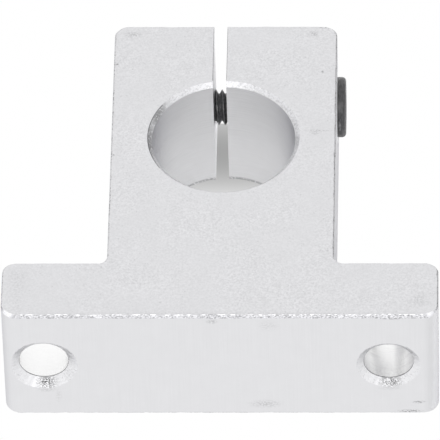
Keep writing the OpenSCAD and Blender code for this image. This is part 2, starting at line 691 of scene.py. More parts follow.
# Specks on the bore's mouth: the two on the left are painted shade, and the one on the right is
# dirt
MOUTH_SCUFFS_AND_SHADE = (
    Scuff((-7.4, -7.7, 30.6), (2.2, 1.0, 3.2), 0.56),
    Scuff((-8.5, -7.7, 26.5), (1.6, 1.0, 6.6), 0.54),
    Scuff((8.3, -7.6, 26.6), (0.7, 0.7, 2.0), 0.25),
)
BORE_SCUFFS = (
    Scuff((0.0, 7.4, 34.0), (14.0, 0.4, 8.0), 0.5),
)
COUNTERSINK_SCUFFS = (
    Scuff((-19.3, 3.2, 0.4), (1.7, 1.4, 1.4), 1.0),
    Scuff((18.7, 3.1, 0.4), (2.0, 1.3, 1.3), 0.9),
)
# Knocked corners, painted lighter: a painted highlight on each chip
CORNER_CHIPS = (
    Scuff((-23.3, -7.9, 0.5), (1.1, 0.8, 1.1), 2.4),
    Scuff((23.2, -7.9, 0.5), (1.0, 0.8, 0.9), 1.2),
)
BLOCK_FINISHES = {
    # Drawn through a die: smooth satin metal with faint lines along the extrusion. Its colour is a
    # little lighter than the blasted ends': partly the drawn finish, partly painted light that
    # brightens the underside
    Zone.EXTRUDED: AluminiumFinish(
        "extruded_aluminium", Pattern.DIE_LINES, "e5e5e7", 0.36, 0.18, 0.0012, 0.008, 0.006,
        scuffs=UNDERSIDE_SCUFFS),
    # Cut to length, then blasted with fine grit: an even sparkle of light and dark grains
    Zone.CUT_END: AluminiumFinish(
        "blasted_cut_aluminium", Pattern.BLASTED, "e1e1e3", 0.42, 0.22, 0.006, 0.052, 0.008,
        Flecks((0.3, 0.3, 0.3), 0.66, 0.12), FRONT_SCUFFS),
    # Deburred by hand: satin, with a few dark dashes along it
    Zone.EDGE: AluminiumFinish(
        "broken_edge_aluminium", Pattern.BLASTED, "e0e0e2", 0.28, 0.2, 0.006, 0.08, 0.03,
        Flecks((0.35, 0.2, 0.2), 0.56, 0.4), chips=CORNER_CHIPS),
    # Reamed to size: the smoothest surface, with rings too fine to count
    Zone.BORED: AluminiumFinish(
        "reamed_aluminium", Pattern.TURNED, "fafafb", 0.32, 0.1, 0.002, 0.015, 0.01,
        scuffs=BORE_SCUFFS, grit=SMEARED_METAL),
    # Turned at the mouth of the bore: bright, with chatter marks, a few specks of dirt on the
    # right, and painted shade as dense dark specks on the left
    Zone.BORE_MOUTH: AluminiumFinish(
        "chamfered_mouth_aluminium", Pattern.BLASTED, "e9e9eb", 0.58, 0.2, 0.006, 0.07, 0.03,
        Flecks((0.25, 0.2, 0.25), 0.5, 0.14), MOUTH_SCUFFS_AND_SHADE, SMEARED_METAL,
        rim_colour="f4f4f6"),
    # Slit by a fine saw: shallow arcs down both walls. Its light colour and white rim colour are
    # painted light on walls that lie in the slit's shade
    Zone.SAWN: AluminiumFinish(
        "sawn_aluminium", Pattern.SAW_ARCS, "f3f3f5", 0.28, 0.25, 0.006, 0.04, 0.01,
        rim_colour="ffffff"),
    # Left by a twist drill: bright, with rings at each turn of the feed
    Zone.DRILLED: AluminiumFinish(
        "drilled_aluminium", Pattern.DRILLED, "ffffff", 0.31, 0.35, 0.01, 0.06, 0.01,
        rim_colour="fafafb"),
    # Left by a countersink: bright, with torn dark specks
    Zone.COUNTERSUNK: AluminiumFinish(
        "countersunk_aluminium", Pattern.BLASTED, "ebebed", 0.42, 0.2, 0.006, 0.05, 0.02,
        Flecks((0.2, 0.25, 0.2), 0.58, 0.15), COUNTERSINK_SCUFFS, TORN_METAL,
        rim_colour="fcfcfd"),
    # The thin rough lip that a cutter leaves where it comes out: in the mouths of the base holes,
    # along the slit and at one side of the bore. It is a darker grey, which draws dark lines along
    # these rims
    Zone.BURR: AluminiumFinish(
        "burred_rim_aluminium", Pattern.BLASTED, "9c9c9e", 0.4, 0.2, 0.004, 0.08, 0.03,
        rim_colour="b4b4b6"),
    # A lit copy of the drilled wall, for the left hole: smoother, plainer and white at grazing
    # angles. It is painted light, which with the glowing card above that hole makes the wall read
    # nearly white
    Zone.DRILLED_LIT_COPY: AluminiumFinish(
        "drilled_aluminium_lit_copy", Pattern.DRILLED, "ffffff", 0.24, 0.35, 0.004, 0.01, 0.004,
        rim_colour="ffffff"),
    # The underside's front edge, which takes the knocks: white chips between dark dashes, and at
    # its corners chips painted lighter, a painted highlight
    Zone.NEAR_EDGE: AluminiumFinish(
        "knocked_edge_aluminium", Pattern.BLASTED, "cfcfd2", 0.5, 0.16, 0.006, 0.1, 0.05,
        Flecks((0.2, 0.1, 0.1), 0.48, 0.45), chips=CORNER_CHIPS),
}
# Oiled black oxide on a turned head: streaks round it, and grey specks where it is rubbed
HEAD_OXIDE = BlackOxide("black_oxide_head", "323234", "7c7c7e", 0.4, 1.7, 0.16, 3.5)
# The same on the rolled thread, which the rollers leave smoother. Its lighter colour is painted
# light, which makes up for the shade that the thread lies in, inside the slit
THREAD_OXIDE_PAINTED_LIGHTER = BlackOxide("black_oxide_thread_painted_lighter", "545456", "68686a", 0.33, 2.0, 0.14, 2.0)


# ---------------------------------------------------------------- the block


@dataclass
class Hole:
    """A round hole as a solid to cut away: radii at distances along its axis.

    Attributes:
        name: the cutter's name.
        materials: the block's material slots.
        origin: the point that distances are counted from.
        axis: unit direction of the axis.
        side: unit direction of the angle 0.
        stations: distance along the axis of each ring.
        radii: radius of each ring, as one number or one for each angle.
        zones: the zone between each ring and the next. The last one holds for the rest.
        angles: number of points round a ring.
    """

    name: str
    materials: Sequence[Material]
    origin: tuple[float, float, float]
    axis: tuple[float, float, float]
    side: tuple[float, float, float]
    stations: np.ndarray
    radii: np.ndarray
    zones: Sequence[Zone] = (Zone.DRILLED,)
    angles: int = 96

    def build(self) -> Object:
        """Makes the closed cutter: each ring is a circle of its own radius at its own station.

        Returns:
            The cutter, with its zones as slot numbers.
        """
        count, turn = len(self.stations), full_turn(self.angles)
        axis, side = np.array(self.axis), np.array(self.side)
        up = np.cross(axis, side)
        radial = np.cos(turn)[:, None] * side + np.sin(turn)[:, None] * up
        radii = np.broadcast_to(self.radii.reshape(count, -1), (count, self.angles))
        points = (np.array(self.origin)
                  + self.stations[:, None, None] * axis
                  + radii[:, :, None] * radial[None, :, :])
        faces = grid_faces(count, self.angles)[:, ::-1].tolist()
        faces.append(list(range(self.angles))[::-1])
        faces.append([(count - 1) * self.angles + i for i in range(self.angles)])
        bands = [zone.value for zone in self.zones]
        bands += [bands[-1]] * (count - 1 - len(bands))
        zones = np.concatenate([np.repeat(bands, self.angles), [bands[0], bands[-1]]])
        return make_object(self.name, points, faces, self.materials, zones)


@dataclass(frozen=True)
class Nick:
    """A knock in an edge of the front face.

    Attributes:
        x: where it is, across the block.
        z: where it is, above the underside.
        depth: how much it widens the broken edge.
        reach: how far it fades out along the edge.
    """

    x: float
    z: float
    depth: float
    reach: float

    def at(self, points: np.ndarray) -> np.ndarray:
        """Its depth at points (x, z): a bell curve of the distance from its middle."""
        away = np.hypot(points[:, 0] - self.x, points[:, 1] - self.z)
        return self.depth * np.exp(-(away / self.reach) ** 2)


@dataclass
class SupportBlock:
    """The aluminium block: one extruded T section with its bore, slit, base holes and screw hole.

    Attributes:
        width: of the base, along X.
        depth: along Y.
        height: from the underside to the top.
        bore_r: radius of the bore.
        bore_z: height of the bore's axis.
        hole_r: radius of the base holes.
        hole_spacing: distance between their axes.
        hole_x: the middle between them, along X.
        screw_z: height of the screw's axis.
        base_h: thickness of the base.
        upright_w: width of the upright.
        corner_r: radius of the section's upper corners.
        foot_r: radius of its corners on the underside.
        fillet_r: radius where the upright meets the base.
        bore_chamfer: size of the chamfer at the bore's mouths.
        slit_w: width of the slit.
        slit_x: the slit's middle, along X.
        left_sink: how wide and how deep the left hole's countersink is.
        right_sink: the same for the right hole.
        hole_deburr: size of the chamfer at the holes' upper ends.
        counterbore_r: radius of the counterbore.
        counterbore_lip: size of its chamfer.
        head_seat: where the screw's head sits, along X.
        clearance_r: radius of the hole under the head.
        thread_r: radius of the threaded hole at the root of its thread.
        thread_core_r: the same at its crest.
        thread_lead: size of the chamfers at its ends.
        thread_flat: how wide the root is, as the top of a ramp that is cut off at 1.
        thread_flank: how steep that ramp is, per half pitch.
        thread_step: distance between the rings that make the thread.
        pitch: of the thread.
        screw_tip: where the screw's tip is, along X.
        tip_gap: how far past the tip the hole is plain.
        edge_break: mean size of the broken edge round both ends.
        edge_waves: wavelength and height of the waves in it.
        least_edge: the smallest size that it has anywhere.
        slit_break: size of the broken edge along the slit.
        near_edge_wear: how much larger the break is along the underside's front edge.
        small_nicks: number of random nicks in an edge.
        small_nick_depth: range of their depth.
        small_nick_reach: range of their reach.
        ragged: how far the broken edge's rows stray.
        near_ragged: how much more they stray along the underside's front edge.
        wear_below: height up to which that edge is worn.
        ragged_below: height up to which it is more ragged.
        lip_ragged: how far the rows of the bore's chamfer stray.
        chamfer_blend: length over which the slit's edge runs into the bore's chamfer.
        slit_blend: length over which the slit's edge grows at its two ends.
        chatter: number of waves round a countersink and their height.
        burr_from: how far to the left of the middle the bore's rim has a burr.
        step: distance between the outline's points.
        arc_points: number of points in a corner.
        edge_rows: number of rows across a broken edge.
        straight_rows: number of rows between the two ends.
        straight_from: how far from each end they start.
        rim: number of points round the bore.
        walls: number of points down each wall of the slit.
        hole_angles: number of points round a base hole.
        end_seeds: for the wear of the front and of the back end.
        hole_seeds: for the chatter of the left and of the right countersink.
        crisp_angle: least angle of an edge that is shaded crisp, in degrees.
        nicks: the knocks in the front's outer edge.
        rim_nick: the knock in the bore's rim.
        materials: its material slots, in the order of the zones.
    """

    width: float
    depth: float
    height: float
    bore_r: float
    bore_z: float
    hole_r: float
    hole_spacing: float
    hole_x: float
    screw_z: float
    base_h: float = 8.0
    upright_w: float = 25.0
    corner_r: float = 1.5
    foot_r: float = 1.8
    fillet_r: float = 1.0
    bore_chamfer: float = 0.5
    slit_w: float = 1.5
    slit_x: float = -0.6
    left_sink: tuple[float, float] = (1.0, 0.76)
    right_sink: tuple[float, float] = (0.8, 0.6)
    hole_deburr: float = 0.3
    counterbore_r: float = 4.0
    counterbore_lip: float = 0.12
    head_seat: float = 9.43
    clearance_r: float = 2.25
    thread_r: float = 2.06
    thread_core_r: float = 1.65
    thread_lead: float = 0.35
    thread_flat: float = 1.15
    thread_flank: float = 3.2
    thread_step: float = 0.05
    pitch: float = 0.7
    screw_tip: float = -10.57
    tip_gap: float = 0.15
    edge_break: float = 0.15
    edge_waves: tuple[tuple[float, float], ...] = ((11.0, 0.012), (4.3, 0.012), (1.9, 0.012))
    least_edge: float = 0.08
    slit_break: float = 0.05
    near_edge_wear: float = 0.13
    small_nicks: int = 26
    small_nick_depth: tuple[float, float] = (0.02, 0.06)
    small_nick_reach: tuple[float, float] = (0.15, 0.4)
    ragged: float = 0.006
    near_ragged: float = 0.02
    wear_below: float = 0.2
    ragged_below: float = 0.3
    lip_ragged: float = 0.008
    chamfer_blend: float = 0.5
    slit_blend: float = 0.3
    chatter: tuple[tuple[int, float], ...] = ((23, 0.02), (9, 0.015))
    burr_from: float = 6.6
    step: float = 0.13
    arc_points: int = 14
    edge_rows: int = 5
    straight_rows: int = 5
    straight_from: float = 1.5
    rim: int = 300
    walls: int = 60
    hole_angles: int = 180
    end_seeds: tuple[int, int] = (11, 23)
    hole_seeds: tuple[int, int] = (3, 5)
    crisp_angle: float = 28.0
    nicks: tuple[Nick, ...] = (
        Nick(-23.3, 0.55, 0.2, 0.6), Nick(23.2, 0.5, 0.15, 0.6), Nick(18.8, 0.0, 0.1, 1.3),
        Nick(-0.8, 0.0, 0.12, 0.5), Nick(7.2, 0.0, 0.07, 0.3), Nick(-17.6, 0.0, 0.08, 0.6),
        Nick(12.5, 24.5, 0.08, 0.3), Nick(12.5, 30.9, 0.06, 0.25), Nick(-12.5, 38.1, 0.07, 0.2),
        Nick(-12.5, 24.2, 0.06, 0.2), Nick(-24.0, 3.8, 0.06, 0.3), Nick(24.0, 6.3, 0.08, 0.4),
        Nick(11.9, 43.6, 0.06, 0.6), Nick(-11.9, 43.6, 0.04, 0.6),
    )
    rim_nick: Nick = Nick(8.5, 27.9, 0.25, 0.35)
    materials: list[Material] = field(default_factory=list)

    @classmethod
    def from_frame(cls, packed: dict) -> "SupportBlock":
        """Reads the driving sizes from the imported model.


        Returns:
            The block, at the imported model's size.
        """
        low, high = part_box("support_block")
        size = (high - low) / MM
        mounts = {mount["name"]: mount for mount in packed["record"]["mounts"]}
        bore, holes = mounts["shaft_bore"], mounts["base_bolts"]
        return cls(
            width=size.x, depth=size.y, height=size.z,
            bore_r=bore["dims"]["r_mm"], bore_z=bore["pos_m"][2] / MM,
            hole_r=holes["dims"]["hole_r_mm"], hole_spacing=holes["dims"]["spacing_x_mm"],
            hole_x=holes["pos_m"][0] / MM,
            screw_z=packed["joints"][0]["pos_m"][2] / MM)

    @property
    def slit_sides(self) -> tuple[float, float]:
        """Where the slit's left and right walls are, along X."""
        return self.slit_x - self.slit_w / 2, self.slit_x + self.slit_w / 2

    def half_outline(self, slit_edge: float) -> tuple[np.ndarray, np.ndarray]:
        """The right half of the T, from the middle of the underside to the slit's edge on top.

        Straight stretches are evenly spaced points, and corners are arcs of circles.

        Args:
            slit_edge: where the slit's wall meets the top, along X.

        Returns:
            Points (x, z), and the unit direction into the metal at each.
        """
        half, ear = self.width / 2, self.upright_w / 2
        points: list[np.ndarray] = []
        inward: list[np.ndarray] = []

        def line(start: tuple[float, float], end: tuple[float, float],
                 into: tuple[float, float]) -> None:
            """Adds a straight stretch, without its end point.

            Args:
                start: where it starts.
                end: where the next stretch starts.
                into: unit direction into the metal.
            """
            count = max(2, round(math.dist(start, end) / self.step))
            share = np.linspace(0, 1, count, endpoint=False)[:, None]
            points.append(np.array(start) * (1 - share) + np.array(end) * share)
            inward.append(np.broadcast_to(np.array(into, float), (count, 2)))

        def arc(centre: tuple[float, float], radius: float, start: float, end: float,
                into: int) -> None:
            """Adds an arc, without its end point.

            Args:
                centre: its centre.
                radius: its radius.
                start: its first angle, in degrees.
                end: the angle where the next stretch starts.
                into: -1 where the metal is inside the arc, and 1 where it is outside.
            """
            angle = np.radians(np.linspace(start, end, self.arc_points, endpoint=False))
            spoke = np.stack([np.cos(angle), np.sin(angle)], axis=1)
            points.append(np.array(centre) + radius * spoke)
            inward.append(into * spoke)

        foot, corner, fillet = self.foot_r, self.corner_r, self.fillet_r
        line((0, 0), (half - foot, 0), (0, 1))
        arc((half - foot, foot), foot, -90, 0, -1)
        line((half, foot), (half, self.base_h - corner), (-1, 0))
        arc((half - corner, self.base_h - corner), corner, 0, 90, -1)
        line((half - corner, self.base_h), (ear + fillet, self.base_h), (0, -1))
        arc((ear + fillet, self.base_h + fillet), fillet, 270, 180, 1)
        line((ear, self.base_h + fillet), (ear, self.height - corner), (-1, 0))
        arc((ear - corner, self.height - corner), corner, 0, 90, -1)
        line((ear - corner, self.height), (slit_edge, self.height), (0, -1))
        points.append(np.array([[slit_edge, self.height]]))
        inward.append(np.array([[0.0, -1.0]]))
        return np.concatenate(points), np.concatenate(inward)

    def outline(self) -> tuple[np.ndarray, np.ndarray]:
        """The T's outside, counter-clockwise from the slit's left edge to its right edge.

        Returns:
            Points (x, z), and the unit direction into the metal at each.
        """
        left_x, right_x = self.slit_sides
        right, right_in = self.half_outline(right_x)
        left, left_in = self.half_outline(-left_x)
        flip = np.array([-1.0, 1.0])
        points = np.concatenate([(left * flip)[::-1], right[1:]])
        return points, np.concatenate([(left_in * flip)[::-1], right_in[1:]])

    def worn_edge(self, outer: np.ndarray, front: bool, rng: np.random.Generator) -> np.ndarray:
        """Size of the broken edge along the outline: a wandering width, with a few nicks.

        Args:
            outer: the outline's points (x, z).
            front: whether it is the front end, which is the one that was knocked.
            rng: the seeded source of the phases and small nicks.

        Returns:
            The edge's size at each point.
        """
        along = np.concatenate([[0], np.cumsum(np.linalg.norm(np.diff(outer, axis=0), axis=1))])
        size = self.edge_break + wander(along, self.edge_waves, rng)
        for _ in range(self.small_nicks):
            spot = rng.random() * along[-1]
            depth, reach = rng.uniform(*self.small_nick_depth), rng.uniform(*self.small_nick_reach)
            size = size + depth * np.exp(-((along - spot) / reach) ** 2)
        if front:
            size = size + self.near_edge_wear * (outer[:, 1] < self.wear_below)
            for nick in self.nicks:
                size = size + nick.at(outer)
        return np.maximum(size, self.least_edge)

    def end_rows(self, front: bool, seed: int) -> np.ndarray:
        """Rows of the swept section at one end, from the flat end face inwards.

        Row k is the section drawn in by a share 1 - (sin a) ^ q and set back by a share
        1 - (cos a) ^ q of the edge's size, where a goes from 0 to a quarter turn. A q of 1 would
        be a round edge and a q of 2 a flat one. The bore widens by its chamfer instead, in a
        straight line. The slit's walls have an edge of their own size, which runs into the
        bore's chamfer over the blend's length. Small random shifts make the edge ragged, most of
        all along the underside's front edge.

        Args:
            front: whether it is the front end.
            seed: for the edge's wear.

        Returns:
            Points, as rows by outline by three, with Y counted from the end face inwards.
        """
        rng = np.random.default_rng(seed)
        outer, inward = self.outline()
        worn = self.worn_edge(outer, front, rng)
        extra = self.near_ragged if front else self.ragged
        ragged = self.ragged + extra * (outer[:, 1] < self.ragged_below)
        left_x, right_x = self.slit_sides
        down = np.linspace(0, 1, self.walls + 2)[1:-1]
        wall_length = self.height - self.bore_z - self.bore_r
        into_bore = np.clip((down - 1) * wall_length / self.chamfer_blend + 1, 0, 1)
        wall_share = np.minimum(1, np.minimum(down, 1 - down) * wall_length / self.slit_blend)
        rows = []
        for k in range(self.edge_rows + 1):
            share = k / self.edge_rows
            angle = math.pi / 2 * share
            draw = 1 - math.sin(angle) ** EDGE_FLATNESS
            back = 1 - math.cos(angle) ** EDGE_FLATNESS
            jitter = rng.uniform(-1, 1, (2, len(outer))) * ragged
            inset = worn * draw + np.abs(jitter[0]) * (k < self.edge_rows)
            setback = worn * back + jitter[1] * (k > 0)
            edge = outer + inward * inset[:, None]
            outside = np.stack([edge[:, 0], np.maximum(setback, 0), edge[:, 1]], axis=1)
            widened = self.bore_r + self.bore_chamfer * (1 - share)
            turn = np.linspace(math.acos(right_x / widened), math.acos(left_x / widened) - TURN,
                               self.rim)
            lip = rng.uniform(-1, 1, (2, self.rim)) * self.lip_ragged * (0 < k < self.edge_rows)
            lip[:, [0, -1]] = 0
            radius = (widened + lip[0])[:, None]
            spoke = np.stack([np.cos(turn), np.sin(turn)], axis=1)
            circle = np.array([0, self.bore_z]) + radius * spoke
            if front and k == 0:
                circle = circle + self.rim_nick.at(circle)[:, None] * spoke
            depth = self.bore_chamfer * share + lip[1]
            bore = np.stack([circle[:, 0], depth, circle[:, 1]], axis=1)
            walls = []
            for top, foot, side in ((outside[-1], bore[0], 1), (outside[0], bore[-1], -1)):
                wall = top * (1 - down[:, None]) + foot * down[:, None]
                wall[:, 0] += side * self.slit_break * draw * wall_share
                wall[:, 1] = self.slit_break * back * (1 - into_bore) + foot[1] * into_bore
                walls.append(wall)
            rows.append(np.concatenate([outside, walls[0], bore, walls[1][::-1]]))
        return np.stack(rows)

    def body(self) -> Object:
        """The section carried along Y: front edge rows, straight rows, back edge rows, two caps.

        Returns:
            The block before its holes are cut.
        """
        half = self.depth / 2
        front = self.end_rows(True, self.end_seeds[0])
        back = self.end_rows(False, self.end_seeds[1])
        section = front[-1]
        front = front - [0, half, 0]
        back = (back * [1, -1, 1] + [0, half, 0])[::-1]
        straight = np.repeat(section[None], self.straight_rows, axis=0)
        straight_to = half - self.straight_from
        straight[:, :, 1] = np.linspace(-straight_to, straight_to, self.straight_rows)[:, None]
        rows = np.concatenate([front, straight, back])
        count, columns = rows.shape[:2]
        faces = grid_faces(count, columns)
        mouth = columns - self.walls - self.rim
        kind = np.full(columns, Zone.EXTRUDED.value)
        kind[mouth - self.walls - 1:] = Zone.SAWN.value
        kind[mouth:mouth + self.rim - 1] = Zone.BORED.value
        zones = np.tile(kind, (count - 1, 1))
        ends = np.ones(count - 1, bool)
        ends[self.edge_rows:count - 1 - self.edge_rows] = False
        zones[ends] = np.where(kind == Zone.BORED.value, Zone.BORE_MOUTH.value, Zone.EDGE.value)
        low = np.flatnonzero(section[:, 2] < self.foot_r)
        zones[1:self.edge_rows, low] = Zone.NEAR_EDGE.value
        burred = (kind == Zone.BORED.value) & (section[:, 0] < -self.burr_from)
        zones[0, burred] = Zone.BURR.value
        zones[:self.edge_rows, kind == Zone.SAWN.value] = Zone.BURR.value
        faces = faces.tolist()
        faces.append(list(range(columns)))
        faces.append(list(range((count - 1) * columns, count * columns))[::-1])
        zones = np.concatenate([zones.ravel(), [Zone.CUT_END.value] * 2])
        return make_object("block_body", rows, faces, self.materials, zones)

    def base_hole(self, side: int, seed: int) -> Object:
        """A through hole in the base, with a countersunk mouth that the tool chattered in.

        The countersink has rolled a thin lip over into the hole.

        Args:
            side: -1 for the left hole, 1 for the right one.
            seed: for the chatter.

        Returns:
            The cutter.
        """
        rng = np.random.default_rng(seed)
        turn = full_turn(self.hole_angles)
        chatter = sum(height * np.sin(count * turn + rng.random() * TURN)
                      for count, height in self.chatter)
        wide, deep = self.left_sink if side < 0 else self.right_sink
        far = self.hole_deburr
        # Each ring's height, how far it stands past the hole's radius, and how much of the
        # chatter and of the tearing it shows
        stations, past_radius, rough, torn = np.array([
            (-PAST, wide / deep + wide, 1.0, 0.0),
            (0.0, wide, 1.0, 0.004),
            (deep * 0.33, wide * 0.67, 1.0, 0.012),
            (deep * 0.67, wide * 0.33, 1.0, 0.012),
            (deep, 0.0, 0.2, 0.004),
            (deep + 0.04, -0.02, 0.4, 0.01),
            (deep + 0.13, 0.0, 0.0, 0.0),
            (2.0, 0.0, 0.0, 0.0),
            (4.0, 0.0, 0.0, 0.0),
            (6.0, 0.0, 0.0, 0.0),
            (self.base_h - far, 0.0, 0.0, 0.0),
            (self.base_h + PAST, far + PAST, 0.4, 0.0),
        ]).T
        tears = torn[:, None] * rng.standard_normal((len(stations), self.hole_angles))
        radii = (self.hole_r + past_radius)[:, None] + rough[:, None] * chatter + tears
        place = (self.hole_x + side * self.hole_spacing / 2, 0, 0)
        # The left hole's wall takes the lit copy of the drilled finish: painted light.
        wall = Zone.DRILLED_LIT_COPY if side < 0 else Zone.DRILLED
        zones = [Zone.COUNTERSUNK] * 4 + [Zone.BURR] * 2 + [wall]
        return Hole("base_hole_cutter", self.materials, place, (0, 0, 1), (1, 0, 0),
                    stations, radii, zones, self.hole_angles).build()

    def side_hole(self, name: str, stations: np.ndarray, radii: np.ndarray) -> Object:
        """A hole on the screw's axis.

        Args:
            name: the cutter's name.
            stations: how far each ring is to the left of the block's middle.
            radii: radius of each ring.

        Returns:
            The cutter.
        """
        return Hole(name, self.materials, (0, 0, self.screw_z), (-1, 0, 0), (0, 1, 0),
                    stations, radii).build()

    def head_hole(self) -> Object:
        """Counterbore and clearance hole in the right ear, as one stepped cutter from the side.

        Returns:
            The cutter.
        """
        ear, lip = self.upright_w / 2, self.counterbore_lip
        stations, radii = np.array([
            (-ear - PAST, self.counterbore_r + lip + PAST),
            (-ear, self.counterbore_r + lip),
            (-ear + lip, self.counterbore_r),
            (-self.head_seat, self.counterbore_r),
            (-self.head_seat, self.clearance_r),
            (0.0, self.clearance_r),
        ]).T
        return self.side_hole("head_hole_cutter", stations, radii)

    def tapped_hole(self) -> Object:
        """The threaded hole in the left ear.

        Where the screw fills it, the hole is plain. Past the screw's tip, its radius goes from the
        core to the root and back once in each pitch, shifted by the angle round the axis.

        Returns:
            The cutter.
        """
        ear, turn = self.upright_w / 2, full_turn(Hole.angles)
        lead, over = self.thread_lead, PAST / 2
        slit_wall = -self.slit_sides[0]
        plain_end = self.tip_gap - self.screw_tip
        plain = np.array([slit_wall - over, slit_wall, slit_wall + lead, plain_end])
        plain_r = self.thread_r + np.array([lead + over, lead, 0, 0])
        threaded = np.arange(plain_end + self.thread_step, ear, self.thread_step)
        phase = (threaded[:, None] / self.pitch + turn[None, :] / TURN) % 1
        wave = np.clip(self.thread_flat - np.abs(phase - 0.5) * self.thread_flank, 0, 1)
        threaded_r = self.thread_core_r + (self.thread_r - self.thread_core_r) * wave
        mouth = self.thread_r + lead - (ear - threaded)
        threaded_r = np.maximum(threaded_r, mouth[:, None])
        last = np.array([ear, ear + over])
        last_r = self.thread_r + lead + (last - ear)
        even = np.zeros_like(turn)
        return self.side_hole("tapped_hole_cutter", np.concatenate([plain, threaded, last]),
                              np.concatenate([plain_r[:, None] + even, threaded_r,
                                              last_r[:, None] + even]))

    def build(self) -> list[Object]:
        """Makes the block, dresses it and puts it in the frame.

        Returns:
            The block's pieces.
        """
        self.materials = [BLOCK_FINISHES[zone].build() for zone in Zone]
        piece = self.body()
        left_seed, right_seed = self.hole_seeds
        carve(piece, [self.base_hole(-1, left_seed), self.base_hole(1, right_seed),
                      self.head_hole(), self.tapped_hole()])
        smooth_but_crisp(piece, self.crisp_angle)
        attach(piece, "block")
        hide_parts("support_block")
        return [piece]


# ---------------------------------------------------------------- the clamp screw


